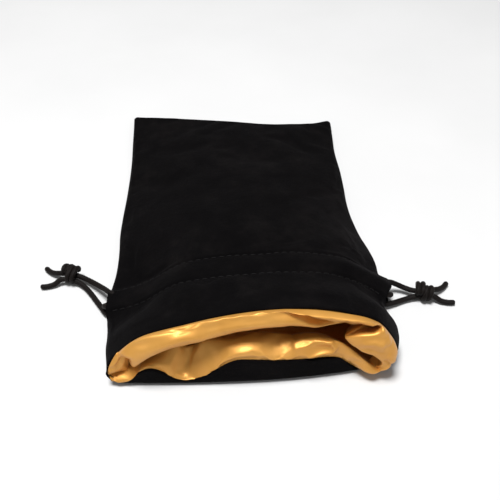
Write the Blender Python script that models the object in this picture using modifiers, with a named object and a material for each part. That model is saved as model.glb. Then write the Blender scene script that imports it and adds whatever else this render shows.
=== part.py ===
"""A small drawstring pouch, lying on its back on a table with its mouth open towards -Y.

Two velvet panels and two satin lining panels are sewn together at the sides and at the closed end. Two
rows of stitches across each panel make a casing, and two cords run through it. Each cord leaves the bag
through the slit in one side seam, where its two ends are knotted together. Inside the casing the cords
swap lanes halfway across, and at the other side each one turns from the front casing to the back one.
Lengths are in metres, +Z is up, and the origin is under the middle of the bag, on the table.
"""

from math import cos, pi, sin

import bmesh
import bpy
from mathutils import Vector
from mathutils.geometry import interpolate_bezier

MM = 0.001

# Fabric, thread and cord
VELVET = 0.8 * MM
SATIN = 0.5 * MM
LAYER_GAP = 0.4 * MM
CLEAR = 0.3 * MM
THREAD_RADIUS = 0.25 * MM
CORD_RADIUS = 1.0 * MM

# Outline seen from above
LEFT_X = -51.4 * MM
RIGHT_X = 45.9 * MM
RIGHT_FLARE = 5.5 * MM
MOUTH_TUCK = 4.0 * MM
TUCK_START_Y = -66.0 * MM
FAR_Y = 73.7 * MM
FAR_SKEW = 5.0 * MM
FAR_EAR = 1.5 * MM
RIM_Y = -72.3 * MM
RIM_BOW = 3.0 * MM
LIP_Y = -80.0 * MM
LIP_BOW = 2.0 * MM
LIP_PULL = 3.0 * MM
LINING_SIDE = 0.95
LINING_FAR_INSET = 2.2 * MM

# Heights of the outer faces
SEAM_RISE = 2.4 * MM
MOUTH_SEAM_RISE = 4.2 * MM
SIDE_STACK = 4.5 * MM
SLIT_BULGE = 4.5 * MM
CROWN_FAR = 5.0 * MM
CROWN_RISE = 24.8 * MM
CROWN_POWER = 2.4
CROWN_LEAN = 0.8
MOUTH_FULLNESS = 1.3
SIDE_CURL = 7.0 * MM
EDGE_CURL = 0.95 * MM
EDGE_CURL_SIDE = 0.958
EDGE_CURL_END = 2.0 * MM
LIP_HEIGHT = 9.0 * MM
LIP_CURL = 2.5 * MM

# Casing: its two stitch rows, and the channel between the velvet and the lining
CASING_FAR_Y = -41.0 * MM
CASING_NEAR_Y = -52.0 * MM
CHANNEL_RAMP = 1.4 * MM
CHANNEL_DEPTH = 2.4 * MM
CROSSING_DEPTH = 2.4 * MM
SLIT_RAMP = 2.4 * MM
LANE_DEPTH = VELVET + CLEAR + CORD_RADIUS
FAR_LANE_Y = -43.6 * MM
NEAR_LANE_Y = -49.4 * MM

# Rows of the panels, from the closed end to the mouth
BODY_ROWS = 8
PANEL_COLUMNS = 20
CASING_ROWS = (
    CASING_FAR_Y + SLIT_RAMP,
    CASING_FAR_Y,
    CASING_FAR_Y - CHANNEL_RAMP,
    (CASING_FAR_Y + CASING_NEAR_Y) / 2,
    CASING_NEAR_Y + CHANNEL_RAMP,
    CASING_NEAR_Y,
    CASING_NEAR_Y - SLIT_RAMP,
)
HEADER_ROWS = 4
LIP_ROWS = 6
LIP_END = LIP_Y + LIP_CURL * (2 - pi / 2) - LIP_HEIGHT

RUN_POINTS = 22

# The hinge line of the front of the bag, just past the closed end
HINGE = (0.0, 80.6 * MM, 2.25 * MM)

# Knots
KNOT_RADII = (4.0 * MM, 3.4 * MM, 3.1 * MM)
LEFT_KNOT = (-67.6 * MM, -28.6 * MM, 3.3 * MM)
RIGHT_KNOT = (65.6 * MM, -44.8 * MM, 3.3 * MM)

# Routes of the cords outside the casing, in millimetres. The turn is given for the right side of the bag,
# from the back casing to the front one, and the tails are offsets from a knot on the right.
TURN_ROUTE = (
    (46.9, -43.6, 2.1), (49.4, -43.7, 2.1), (51.5, -44.6, 2.6), (52.6, -46.3, 4.0), (52.1, -48.0, 5.6),
    (49.7, -49.1, 6.9),
)
TAIL_ROUTES = {
    "tail_far": ((4.3, 0.7, -0.2), (6.6, 1.8, -1.2), (9.0, 3.6, -2.0), (11.0, 5.8, -2.1)),
    "tail_near": ((3.9, -2.4, -0.8), (6.2, -3.5, -1.9), (8.8, -4.2, -2.15), (11.4, -4.3, -2.15)),
}
LEFT_STRANDS = {
    "strand_front": (
        (-50.0, -43.1, 6.8), (-51.4, -41.7, 6.5), (-53.0, -39.7, 5.7), (-55.6, -36.7, 4.4),
        (-58.7, -33.6, 3.3), (-61.2, -31.5, 2.8), (-63.4, -30.2, 2.9),
    ),
    "strand_back": (
        (-47.2, -49.4, 2.1), (-50.2, -49.5, 2.1), (-52.5, -47.8, 2.0), (-54.7, -44.5, 1.7),
        (-57.2, -40.6, 1.4), (-60.0, -36.4, 1.3), (-62.4, -33.6, 1.5), (-64.3, -32.2, 1.9),
    ),
}
RIGHT_STRANDS = {
    "strand_front": (
        (50.0, -43.2, 6.8), (51.4, -42.4, 6.5), (53.4, -41.7, 5.6), (56.0, -41.7, 4.2),
        (58.7, -42.4, 3.1), (61.3, -43.7, 2.9),
    ),
    "strand_back": (
        (47.2, -49.4, 2.1), (50.6, -49.5, 2.1), (53.4, -48.8, 1.9), (56.2, -47.7, 1.6),
        (58.8, -46.8, 1.5), (61.2, -46.3, 1.8),
    ),
}


def ramp(start, end, value):
    """0 before start, 1 after end, and smooth in between, whichever of the two is larger."""
    t = min(max((value - start) / (end - start), 0.0), 1.0)
    return t * t * (3 - 2 * t)


def mix(a, b, t):
    return a + (b - a) * t


def along(y):
    """0 at the closed end, 1 at the mouth."""
    return min(max((FAR_Y - y) / (FAR_Y - RIM_Y), 0.0), 1.1)


def slit(y):
    """1 along the slit in the side seam, 0 away from it."""
    opens = ramp(CASING_FAR_Y + SLIT_RAMP, CASING_FAR_Y - CHANNEL_RAMP, y)
    return opens * (1 - ramp(CASING_NEAR_Y + CHANNEL_RAMP, CASING_NEAR_Y - SLIT_RAMP, y))


def channel(u, y):
    """How far the lining stands off the velvet to leave room for the cords."""
    opens = ramp(CASING_FAR_Y, CASING_FAR_Y - CHANNEL_RAMP, y)
    opens *= 1 - ramp(CASING_NEAR_Y + CHANNEL_RAMP, CASING_NEAR_Y, y)
    return opens * (CHANNEL_DEPTH + CROSSING_DEPTH * (1 - ramp(0.3, 0.6, abs(u))))


def side_x(u, y):
    """The place across the bag, from the left edge at u = -1 to the right edge at u = 1."""
    tuck = MOUTH_TUCK * ramp(TUCK_START_Y, LIP_Y, y)
    left = LEFT_X + tuck
    right = RIGHT_X + RIGHT_FLARE * ramp(10 * MM, -42 * MM, y) - tuck
    return mix(left, right, (u + 1) / 2)


def row_y(u, row, mouth_y, bow):
    """The place along the bag: the closed end is skewed with small ears, and the mouth is bowed."""
    far = min(max((row - CASING_ROWS[0]) / (FAR_Y - CASING_ROWS[0]), 0.0), 1.1)
    near = min(max((CASING_ROWS[-1] - row) / (CASING_ROWS[-1] - mouth_y), 0.0), 1.1)
    return row + far * (FAR_EAR * u**6 - FAR_SKEW * u) + near * bow


def seam_height(y):
    """How far the back panel's sides rise off the table."""
    return SEAM_RISE * along(y) * (1 - slit(y)) + MOUTH_SEAM_RISE * ramp(-54 * MM, -76 * MM, y)


def edge_curl(u, row, y):
    """How far each velvet panel bends towards the other at the sides and the closed end."""
    side = (abs(u) - EDGE_CURL_SIDE) / (1 - EDGE_CURL_SIDE)
    end = (row - FAR_Y + EDGE_CURL_END) / EDGE_CURL_END
    sewn = (1 - slit(y)) * (1 - ramp(CASING_NEAR_Y - 2 * SLIT_RAMP, TUCK_START_Y, y))
    return EDGE_CURL * min(max(side, end, 0.0), 1.0) * sewn


def front_face(u, row):
    y = row_y(u, row, RIM_Y, -RIM_BOW * u * u)
    edge = seam_height(y) + SIDE_STACK + SLIT_BULGE * slit(y)
    crown = CROWN_FAR + CROWN_RISE * along(y)
    power = CROWN_POWER + CROWN_LEAN * u + MOUTH_FULLNESS * ramp(CASING_NEAR_Y, RIM_Y, y)
    z = mix(edge, crown, 1 - abs(u) ** power) - edge_curl(u, row, y)
    return Vector((side_x(u, y), y, z))


def back_face(u, row):
    """Flat on the table, rising at the sides, and turned up at the mouth: rows count along the cloth."""
    turned = max(LIP_Y + LIP_CURL - row, 0.0) / LIP_CURL
    bend = min(turned, pi / 2)
    lip = LIP_CURL * (1 - cos(bend) + turned - bend)
    flat_row = max(row, LIP_Y + LIP_CURL)
    y = row_y(u, flat_row, LIP_Y, LIP_BOW * u * u + LIP_PULL * max(u, 0) ** 2) - LIP_CURL * sin(bend)
    x = side_x(u, y)
    inset = min(x - side_x(-1, y), side_x(1, y) - x)
    side = seam_height(y) * max(1 - inset / SIDE_CURL, 0.0) ** 2
    return Vector((x, y, (side**3 + lip**3) ** (1 / 3) + edge_curl(u, row, y)))


def inside(face, u, row, depth):
    """The point at this depth under a panel's outer face, towards the inside of the bag."""
    step = 0.5 * MM
    du = step / (50 * MM)
    across = face(u + du, row) - face(u - du, row)
    forward = face(u, row + step) - face(u, row - step)
    inward = across.cross(forward).normalized()
    if face is front_face:
        inward = -inward
    return face(u, row) + inward * depth


def spread(t):
    """Columns lie closer together towards the two sides."""
    return sin(0.42 * pi * t) / sin(0.42 * pi)


def spaced(start, end, count):
    return [mix(start, end, i / count) for i in range(count + 1)]


def rows(far, mouth, last_rows):
    body = [far] + spaced(far - EDGE_CURL_END, CASING_ROWS[0] + 6 * MM, BODY_ROWS)
    header = spaced(CASING_ROWS[-1], mouth, last_rows)[1:]
    return body + list(CASING_ROWS) + header


def material(name, colour, roughness):
    made = bpy.data.materials.new(name)
    made.use_nodes = True
    shader = made.node_tree.nodes["Principled BSDF"]
    shader.inputs["Base Color"].default_value = (*colour, 1.0)
    shader.inputs["Roughness"].default_value = roughness
    shader.inputs["Metallic"].default_value = 0.0
    made.diffuse_color = (*colour, 1.0)
    return made


def place(obj, parent):
    bag.objects.link(obj)
    obj.parent = parent
    if parent:
        obj.matrix_parent_inverse = parent.matrix_world.inverted()
    return obj


def panel(name, face, row_list, width, depth, thickness, surface, parent):
    """A grid laid on a panel's face at this depth, thickened towards the inside of the bag."""
    mesh = bpy.data.meshes.new(name)
    grid = bmesh.new()
    last = len(row_list) - 1
    bmesh.ops.create_grid(grid, x_segments=PANEL_COLUMNS, y_segments=last, size=1.0)
    for vertex in grid.verts:
        u = width * spread(vertex.co.x)
        row = row_list[round((1 - vertex.co.y) / 2 * last)]
        off = depth
        if depth > 0:
            off += channel(u, face(u, row).y)
        vertex.co = inside(face, u, row, off)
    grid.to_mesh(mesh)
    grid.free()
    mesh.shade_smooth()
    mesh.materials.append(surface)
    obj = place(bpy.data.objects.new(name, mesh), parent)
    shell = obj.modifiers.new("Cloth", "SOLIDIFY")
    shell.thickness = thickness
    shell.offset = -1.0 if face is front_face else 1.0
    return obj


def tube(name, points, radius, sides_level, surface, parent):
    curve = bpy.data.curves.new(name, "CURVE")
    curve.dimensions = "3D"
    curve.bevel_depth = radius
    curve.bevel_resolution = sides_level
    curve.use_fill_caps = True
    spline = curve.splines.new("POLY")
    spline.points.add(len(points) - 1)
    for target, point in zip(spline.points, points):
        target.co = (*point, 1.0)
    curve.materials.append(surface)
    return place(bpy.data.objects.new(name, curve), parent)


def thread(name, points, parent):
    return tube(name, points, THREAD_RADIUS, 0, thread_black, parent)


def smooth_route(points, pieces=4):
    """A smooth curve through hand-placed points, as a list of closer points."""
    knots = [Vector(point) for point in points]
    slopes = []
    for i in range(len(knots)):
        before, after = knots[max(i - 1, 0)], knots[min(i + 1, len(knots) - 1)]
        slopes.append((after - before) / 6)
    route = [knots[0]]
    for i in range(len(knots) - 1):
        handle_a, handle_b = knots[i] + slopes[i], knots[i + 1] - slopes[i + 1]
        route += interpolate_bezier(knots[i], handle_a, handle_b, knots[i + 1], pieces + 1)[1:]
    return route


def seam_point(u, row):
    """The point halfway between the two panels."""
    return (front_face(u, row) + back_face(u, row)) / 2


def side_seam(u, start, end, count):
    return [seam_point(u, row) for row in spaced(start, end, count)]


def run_of(face, own_side, near_at_own_side, lies_under, ends):
    """A cord's way through one casing, from own side to the other, swapping lanes in the middle."""
    own_lane, other_lane = FAR_LANE_Y, NEAR_LANE_Y
    if near_at_own_side:
        own_lane, other_lane = other_lane, own_lane
    points = []
    for t in spaced(-ends, ends, RUN_POINTS):
        u = -own_side * t
        lane = mix(own_lane, other_lane, ramp(-0.25, 0.25, t))
        dip = CROSSING_DEPTH * (1 - ramp(0.3, 0.6, abs(u))) if lies_under else 0.0
        points.append(inside(face, u, lane, LANE_DEPTH + dip))
    return points


def mirrored(points, side):
    return [Vector((side * x, y, z)) for x, y, z in points]


def millimetres(points):
    return [Vector(point) * MM for point in points]


def fabric():
    """The four panels and the stitches that join them."""
    front_rows = rows(FAR_Y, RIM_Y, HEADER_ROWS)
    lip_start = LIP_Y + LIP_CURL
    back_rows = rows(FAR_Y, lip_start, HEADER_ROWS) + spaced(lip_start, LIP_END, LIP_ROWS)[1:]
    lining_front_rows = [min(row, FAR_Y - LINING_FAR_INSET) for row in front_rows]
    lining_back_rows = [min(row, FAR_Y - LINING_FAR_INSET) for row in back_rows]
    lining_depth = VELVET + LAYER_GAP
    panel("outer_front_panel", front_face, front_rows, 1.0, 0.0, VELVET, velvet, mouth_hinge)
    panel("outer_back_panel", back_face, back_rows, 1.0, 0.0, VELVET, velvet, None)
    panel("lining_front_panel", front_face, lining_front_rows, LINING_SIDE, lining_depth, SATIN,
          satin, mouth_hinge)
    panel("lining_back_panel", back_face, lining_back_rows, LINING_SIDE, lining_depth, SATIN, satin, None)

    above_slit = CASING_FAR_Y + 2 * SLIT_RAMP
    below_slit = CASING_NEAR_Y - 2 * SLIT_RAMP
    for label, side in (("left", -1), ("right", 1)):
        velvet_seam, lining_seam = 0.99 * side, 0.967 * side
        thread(f"side_seam_{label}_body", side_seam(velvet_seam, FAR_Y - 2 * MM, above_slit, 14), None)
        thread(f"side_seam_{label}_header", side_seam(velvet_seam, below_slit, RIM_Y, 6), None)
        thread(f"lining_side_seam_{label}", side_seam(lining_seam, FAR_Y - 3 * MM, above_slit, 14), None)

    columns = spaced(-0.94, 0.94, 16)
    thread("bottom_seam", [seam_point(u, FAR_Y - 0.6 * MM) for u in columns], None)
    thread("lining_bottom_seam", [seam_point(u, FAR_Y - 1.6 * MM) for u in columns], None)

    mid_layer = VELVET + LAYER_GAP / 2
    rim = [inside(front_face, u, RIM_Y - 0.6 * MM, mid_layer) for u in columns]
    thread("rim_seam_front", rim, mouth_hinge)
    rim = [inside(back_face, u, LIP_END - 0.6 * MM, mid_layer) for u in columns]
    thread("rim_seam_back", rim, None)

    proud = CLEAR + THREAD_RADIUS
    for label, row in (("far", CASING_FAR_Y), ("near", CASING_NEAR_Y)):
        stitches = [inside(front_face, spread(t), row, -proud) for t in spaced(-0.9, 0.9, 18)]
        thread(f"casing_stitches_front_{label}", stitches, mouth_hinge)
    inner = 0.8 * CHANNEL_RAMP
    for label, row in (("far", CASING_FAR_Y - inner), ("near", CASING_NEAR_Y + inner)):
        stitches = [inside(back_face, u, row, VELVET + proud) for u in spaced(-0.9, 0.9, 12)]
        thread(f"casing_stitches_back_{label}", stitches, None)


def drawstring(label, side, knot_centre, strand_routes, slider):
    """One cord: its runs in both casings, the two strands outside, and the knot that joins its ends."""
    lies_under = side > 0
    front = run_of(front_face, side, False, lies_under, 0.9)
    tip = Vector((49.3 * MM, 0, 7.1 * MM))
    front = [Vector((side * tip.x, front[0].y, tip.z))] + front
    front += [Vector((-side * tip.x, front[-1].y, tip.z))]
    tube(f"{label}_cord_front_run", front, CORD_RADIUS, 2, cord_black, mouth_hinge)

    back = run_of(back_face, side, True, lies_under, 0.9)
    turn = smooth_route(mirrored(millimetres(TURN_ROUTE), -side), 2)
    tube(f"{label}_cord_back_run", back + turn, CORD_RADIUS, 2, cord_black, None)

    for name, route in strand_routes.items():
        points = smooth_route(millimetres(route), 2)
        tube(f"{label}_cord_{name}", points, CORD_RADIUS, 2, cord_black, slider)
    centre = Vector(knot_centre)
    for name, offsets in TAIL_ROUTES.items():
        points = [centre + point for point in mirrored(millimetres(offsets), side)]
        tube(f"{label}_cord_{name}", smooth_route(points, 2), CORD_RADIUS, 2, cord_black, slider)

    mesh = bpy.data.meshes.new(f"{label}_knot")
    ball = bmesh.new()
    bmesh.ops.create_uvsphere(ball, u_segments=12, v_segments=8, radius=1.0)
    bmesh.ops.scale(ball, vec=KNOT_RADII, verts=ball.verts)
    bmesh.ops.translate(ball, vec=centre, verts=ball.verts)
    ball.to_mesh(mesh)
    ball.free()
    mesh.shade_smooth()
    mesh.materials.append(cord_black)
    place(bpy.data.objects.new(f"{label}_knot", mesh), slider)


def joint_empty(name, location):
    empty = bpy.data.objects.new(name, None)
    empty.empty_display_size = 10 * MM
    empty.location = location
    bag.objects.link(empty)
    return empty


for old in list(bpy.data.objects):
    bpy.data.objects.remove(old)

bag = bpy.data.collections.new("drawstring_bag")
bpy.context.scene.collection.children.link(bag)

velvet = material("velvet_black", (0.008, 0.007, 0.008), 0.9)
satin = material("satin_gold", (0.62, 0.35, 0.10), 0.35)
thread_black = material("thread_black", (0.012, 0.011, 0.012), 0.7)
cord_black = material("cord_black", (0.014, 0.011, 0.010), 0.6)

mouth_hinge = joint_empty("mouth_hinge", HINGE)
left_pull = joint_empty("left_pull", (LEFT_X, FAR_LANE_Y, LANE_DEPTH))
right_pull = joint_empty("right_pull", (-LEFT_X, FAR_LANE_Y, LANE_DEPTH))
bpy.context.view_layer.update()

fabric()
drawstring("left", -1, LEFT_KNOT, LEFT_STRANDS, left_pull)
drawstring("right", 1, RIGHT_KNOT, RIGHT_STRANDS, right_pull)
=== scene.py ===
"""The looks of a small drawstring pouch: velvet outside, gold satin inside, a cord out of each side.

It lies on its back with its mouth open towards -Y. Fabric points are given by u, from -1 at the left edge
to 1 at the right edge, and by row, the distance along the bag, as in the CAD model. Lengths are in metres.
"""

from math import cos, hypot, pi, radians, sin

import bmesh
import bpy
import numpy as np
from mathutils import Matrix, Vector, noise


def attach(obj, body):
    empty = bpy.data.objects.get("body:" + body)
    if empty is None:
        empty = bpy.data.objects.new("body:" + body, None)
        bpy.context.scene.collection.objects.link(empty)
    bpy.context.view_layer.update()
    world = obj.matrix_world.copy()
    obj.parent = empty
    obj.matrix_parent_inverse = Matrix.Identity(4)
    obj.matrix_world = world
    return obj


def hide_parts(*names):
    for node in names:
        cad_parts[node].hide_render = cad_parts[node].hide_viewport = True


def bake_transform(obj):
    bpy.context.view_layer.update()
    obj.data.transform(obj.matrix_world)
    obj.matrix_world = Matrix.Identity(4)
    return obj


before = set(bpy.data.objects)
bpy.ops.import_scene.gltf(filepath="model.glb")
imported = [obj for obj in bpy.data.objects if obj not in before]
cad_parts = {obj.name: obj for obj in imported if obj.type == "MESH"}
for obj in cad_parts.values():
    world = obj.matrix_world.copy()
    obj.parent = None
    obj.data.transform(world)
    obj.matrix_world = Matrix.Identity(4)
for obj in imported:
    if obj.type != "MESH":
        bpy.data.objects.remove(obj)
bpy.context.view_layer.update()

MM = 0.001

# Fabric and cord
VELVET = 0.8 * MM
CORD_RADIUS = 1.0 * MM
HEM_RADIUS = 0.6 * MM
STITCH_RADIUS = 0.2 * MM
BRAID_PITCH = 3.2 * MM
TUBE_STEP = 0.22 * MM

# Outline, as in the CAD model
LEFT_X = -51.4 * MM
RIGHT_X = 45.9 * MM
RIGHT_FLARE = 5.5 * MM
MOUTH_TUCK = 4.0 * MM
TUCK_START_Y = -66.0 * MM
FAR_Y = 73.7 * MM
FAR_SKEW = 5.0 * MM
FAR_EAR = 1.5 * MM
RIM_Y = -72.3 * MM
RIM_BOW = 3.0 * MM
LIP_Y = -80.0 * MM
LIP_BOW = 2.0 * MM
LIP_PULL = 3.0 * MM

# Where the cloth lies away from the CAD model's outline: the tuck and the seam's rise at the left of the
# mouth, how far each side edge lies inside at each y, in millimetres, and the far edge's dip and lifts
LEFT_TUCK = 2.5 * MM
LEFT_MOUTH_SEAM_RISE = 1.6 * MM
LEFT_INSET = (
    (-80, 0.2), (-75, 0.9), (-70, 1.4), (-60, 1.2), (-52, 0.2), (-41, 0.2), (-32, 1.3), (-18, 1.4),
    (-10, 0.9), (1, 1.0), (15, 1.5), (43, 1.5), (58, 0.8), (70, 0.3), (80, -0.2),
)
RIGHT_INSET = (
    (-80, 0.0), (-72, 0.3), (-66, 1.2), (-60, 1.9), (-55, 2.6), (-51, 1.8), (-46, -1.2), (-41, -0.3),
    (-37, 0.9), (-32, 0.7), (-24, 1.0), (-18, 1.6), (-6, 1.6), (8, 0.9), (15, 0.5), (28, 0.1), (45, 0.3),
    (58, -0.6), (70, -1.4), (80, -1.6),
)
FAR_DIP = 4.3 * MM
FAR_LIFT = 0.8 * MM
RIGHT_EAR = 1.9 * MM

# Heights, as in the CAD model
SEAM_RISE = 2.4 * MM
MOUTH_SEAM_RISE = 4.2 * MM
SIDE_STACK = 4.5 * MM
SLIT_BULGE = 4.5 * MM
CROWN_FAR = 5.0 * MM
CROWN_RISE = 24.8 * MM
CROWN_POWER = 2.4
CROWN_LEAN = 0.8
MOUTH_FULLNESS = 1.3
SIDE_CURL = 7.0 * MM
LIP_CURL = 2.5 * MM

# Casing, as in the CAD model
CASING_FAR_Y = -41.0 * MM
CASING_NEAR_Y = -52.0 * MM
CHANNEL_RAMP = 1.4 * MM
CHANNEL_DEPTH = 2.4 * MM
CROSSING_DEPTH = 2.4 * MM
SLIT_RAMP = 2.4 * MM
LANE_DEPTH = VELVET + 0.3 * MM + CORD_RADIUS
FAR_LANE_Y = -43.6 * MM
NEAR_LANE_Y = -49.4 * MM

# Routes of the cords outside the casing, in millimetres, as in the CAD model
KNOT = {"left": (-67.6, -28.6, 3.3), "right": (65.6, -44.8, 3.3)}
TURN_ROUTE = (
    (46.9, -43.6, 2.1), (49.4, -43.7, 2.1), (51.5, -44.6, 2.6), (52.6, -46.3, 4.0), (52.1, -48.0, 5.6),
    (49.7, -49.1, 6.9),
)
TAIL = {
    "front": ((4.3, 0.7, -0.2), (6.6, 1.8, -1.2), (9.0, 3.6, -2.0), (11.0, 5.8, -2.1)),
    "back": ((3.9, -2.4, -0.8), (6.2, -3.5, -1.9), (8.8, -4.2, -2.15), (11.4, -4.3, -2.15)),
}
STRAND = {
    ("left", "front"): (
        (-48.6, -43.6, 7.2), (-50.0, -43.1, 6.8), (-51.4, -41.7, 6.5), (-53.0, -39.7, 5.7),
        (-55.6, -36.7, 4.4), (-58.7, -33.6, 3.3), (-61.2, -31.5, 2.8), (-63.4, -30.2, 2.9),
    ),
    ("left", "back"): (
        (-47.2, -49.4, 2.1), (-50.2, -49.5, 2.1), (-52.5, -47.8, 2.0), (-54.7, -44.5, 1.7),
        (-57.2, -40.6, 1.4), (-60.0, -36.4, 1.3), (-62.4, -33.6, 1.5), (-64.3, -32.2, 1.9),
    ),
    ("right", "front"): (
        (48.6, -43.5, 7.2), (50.0, -43.2, 6.8), (51.4, -42.4, 6.5), (53.4, -41.7, 5.6),
        (56.0, -41.7, 4.2), (58.7, -42.4, 3.1), (61.3, -43.7, 2.9),
    ),
    ("right", "back"): (
        (47.2, -49.4, 2.1), (50.6, -49.5, 2.1), (53.4, -48.8, 1.9), (56.2, -47.7, 1.6),
        (58.8, -46.8, 1.5), (61.2, -46.3, 1.8),
    ),
}


# ---------------------------------------------------------------- shapes of the fabric


def ramp(start, end, value):
    """0 before start, 1 after end, and smooth in between, whichever of the two is larger."""
    t = np.clip((value - start) / (end - start), 0.0, 1.0)
    return t * t * (3 - 2 * t)


def mix(a, b, t):
    return a + (b - a) * t


def bump(centre, width, value):
    """1 at the centre, falling smoothly to 0 at this distance from it."""
    return 1 - ramp(0.0, width, np.abs(value - centre))


def through(places, values, at):
    """A smooth curve through a few values, read at other places."""
    places, values = np.asarray(places, float), np.asarray(values, float)
    slopes = np.gradient(values, places)
    i = np.clip(np.searchsorted(places, at) - 1, 0, len(places) - 2)
    step = places[i + 1] - places[i]
    t = np.clip((at - places[i]) / step, 0.0, 1.0)
    rest = 1 - t
    curve = values[i] * rest * rest * (1 + 2 * t) + values[i + 1] * t * t * (3 - 2 * t)
    return curve + step * t * rest * (slopes[i] * rest - slopes[i + 1] * t)


def along(y):
    return np.clip((FAR_Y - y) / (FAR_Y - RIM_Y), 0.0, 1.1)


def slit(y):
    opens = ramp(CASING_FAR_Y + SLIT_RAMP, CASING_FAR_Y - CHANNEL_RAMP, y)
    return opens * (1 - ramp(CASING_NEAR_Y + CHANNEL_RAMP, CASING_NEAR_Y - SLIT_RAMP, y))


def channel(u, y):
    opens = ramp(CASING_FAR_Y, CASING_FAR_Y - CHANNEL_RAMP, y)
    opens = opens * (1 - ramp(CASING_NEAR_Y + CHANNEL_RAMP, CASING_NEAR_Y, y))
    return opens * (CHANNEL_DEPTH + CROSSING_DEPTH * (1 - ramp(0.3, 0.6, np.abs(u))))


def inset(table, y):
    places, values = np.array(table).T
    return through(places * MM, values * MM, y)


def side_x(u, y):
    tuck = MOUTH_TUCK * ramp(TUCK_START_Y, LIP_Y, y)
    right = RIGHT_X + RIGHT_FLARE * ramp(10 * MM, -42 * MM, y) - tuck - inset(RIGHT_INSET, y)
    left = LEFT_X + LEFT_TUCK * ramp(TUCK_START_Y, LIP_Y, y) + inset(LEFT_INSET, y)
    return mix(left, right, (u + 1) / 2)


def row_y(u, row, mouth_y, bow):
    first = CASING_FAR_Y + SLIT_RAMP
    last = CASING_NEAR_Y - SLIT_RAMP
    far = np.clip((row - first) / (FAR_Y - first), 0.0, 1.1)
    near = np.clip((last - row) / (last - mouth_y), 0.0, 1.1)
    end = FAR_EAR * u**6 - FAR_SKEW * u + RIGHT_EAR * ramp(0.78, 1.0, u)
    end = end - FAR_DIP * bump(0.38, 0.8, u) + FAR_LIFT * bump(-0.75, 0.4, u)
    return row + far * end + near * bow


def seam_height(u, y):
    mouth_rise = mix(LEFT_MOUTH_SEAM_RISE, MOUTH_SEAM_RISE, ramp(-0.6, 0.6, u))
    return SEAM_RISE * along(y) * (1 - slit(y)) + mouth_rise * ramp(-54 * MM, -76 * MM, y)


def edge_curl(u, row, y):
    """Both panels curl round to meet halfway up, along the side seams and the closed end."""
    radius = SIDE_STACK / 2
    half_width = (side_x(1, y) - side_x(-1, y)) / 2
    side = np.clip(1 - (1 - np.abs(u)) * half_width / radius, 0.0, 1.0) * (1 - 0.8 * slit(y))
    end = np.clip(1 - (FAR_Y - row) / radius, 0.0, 1.0)
    reach = np.clip(np.sqrt(side**2 + end**2), 0.0, 1.0)
    return radius * (1 - np.sqrt(1 - reach**2))


def front_relief(u, y):
    """Where the front of the real bag sinks or swells, away from the plain arch."""
    sunk = 4.6 * bump(-0.78, 0.36, u) * bump(-44 * MM, 26 * MM, y)
    sunk += 2.3 * bump(-0.15, 0.75, u) * bump(-48 * MM, 24 * MM, y)
    sunk += 2.0 * bump(0.88, 0.25, u) * bump(-41 * MM, 12 * MM, y)
    mouth = ramp(-54 * MM, -70 * MM, y)
    near = 2.6 * bump(-0.45, 0.4, u) + 1.0 * bump(-0.33, 0.6, u)
    near = near - 0.9 * bump(0.4, 0.6, u) - 2.0 * bump(0.82, 0.2, u)
    sunk += near * mouth
    return -sunk * MM


def front_face(u, row):
    y = row_y(u, row, RIM_Y, -RIM_BOW * u * u)
    edge = seam_height(u, y) + SIDE_STACK + SLIT_BULGE * slit(y)
    crown = CROWN_FAR + CROWN_RISE * along(y)
    power = CROWN_POWER + CROWN_LEAN * u + MOUTH_FULLNESS * ramp(CASING_NEAR_Y, RIM_Y, y)
    z = mix(edge, crown, 1 - np.abs(u) ** power) + front_relief(u, y)
    return np.stack([side_x(u, y), y, z - edge_curl(u, row, y)], axis=-1)


def back_face(u, row):
    """Flat on the table, rising at the sides, and turned up at the mouth: rows count along the cloth."""
    turned = np.maximum(LIP_Y + LIP_CURL - row, 0.0) / LIP_CURL
    bend = np.minimum(turned, pi / 2)
    lip = LIP_CURL * (1 - np.cos(bend) + turned - bend)
    flat_row = np.maximum(row, LIP_Y + LIP_CURL)
    bow = LIP_BOW * u * u + LIP_PULL * np.maximum(u, 0) ** 2
    y = row_y(u, flat_row, LIP_Y, bow) - LIP_CURL * np.sin(bend)
    x = side_x(u, y)
    inset = np.minimum(x - side_x(-1, y), side_x(1, y) - x)
    side = seam_height(u, y) * np.maximum(1 - inset / SIDE_CURL, 0.0) ** 2
    z = (side**3 + lip**3) ** (1 / 3) + edge_curl(u, row, y)
    return np.stack([x, y, z], axis=-1)


def inside(face, u, row, depth):
    """The points at this depth under a panel's outer face, towards the inside of the bag."""
    u, row, depth = np.broadcast_arrays(u, row, depth)
    step = 0.5 * MM
    du = step / (50 * MM)
    across = face(u + du, row) - face(u - du, row)
    forward = face(u, row + step) - face(u, row - step)
    inward = np.cross(across, forward)
    inward = inward / np.linalg.norm(inward, axis=-1, keepdims=True)
    if face is front_face:
        inward = -inward
    return face(u, row) + inward * depth[..., None]


def spread(t):
    """Columns lie closer together towards the two sides."""
    return np.sin(0.42 * pi * t) / sin(0.42 * pi)


def noise_at(points, size, seed):
    """Smooth noise, about -1 to 1, with features of this size."""
    shift = Vector((seed * 7.3, seed * 3.1, seed * 5.7))
    flat = np.asarray(points).reshape(-1, 3) / size
    values = [noise.noise(Vector(point) + shift) for point in flat]
    return np.array(values).reshape(np.asarray(points).shape[:-1])


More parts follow.
